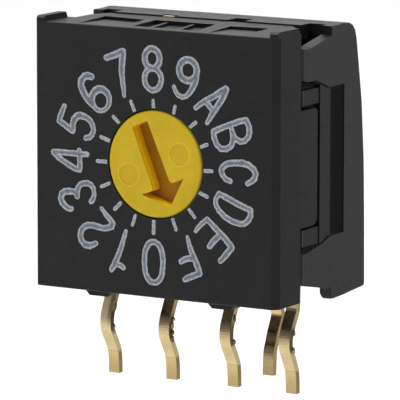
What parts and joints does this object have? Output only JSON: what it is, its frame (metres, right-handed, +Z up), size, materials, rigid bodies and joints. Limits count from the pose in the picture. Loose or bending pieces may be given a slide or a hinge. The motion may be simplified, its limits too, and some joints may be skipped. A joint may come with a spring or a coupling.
{
  "type": "rotary dip switch",
  "caption": "Right-angle rotary DIP switch: black body with a printed hexadecimal dial, a yellow screwdriver-set rotor and kinked gold leads for a circuit board.",
  "frame": {"origin": "on the circuit board's surface, in the middle of the front row of leads", "axes": "+Z up from the board, -Y the way the dial faces, +X to the right when the dial is looked at"},
  "size_m": [0.01, 0.0068, 0.0135],
  "materials": {
    "black_case": "moulded, fine matt",
    "black_rear": "moulded, satin",
    "yellow_rotor": "moulded, satin",
    "gold_plate": "gold plated",
    "spring_steel": "bright",
    "seal": "silicone"
  },
  "bodies": {
    "body": {"front_case": "black_case", "base": "black_rear", "rear_housing": "black_rear", "detent_spring_left": "spring_steel", "detent_spring_right": "spring_steel", "terminal_1": "gold_plate", "terminal_2": "gold_plate", "terminal_4": "gold_plate", "terminal_8": "gold_plate", "terminal_common": "gold_plate"},
    "dial": {"rotor": "yellow_rotor", "code_disc": "gold_plate", "rotor_seal": "seal"}
  },
  "joints": [
    {"name": "rotor_spin", "type": "hinge", "parent": "body", "child": "dial", "pos_m": [0, -0.00348, 0.0052], "axis": [0, -1, 0], "continuous": true, "deforming": ["detent_spring_left", "detent_spring_right"]}
  ]
}
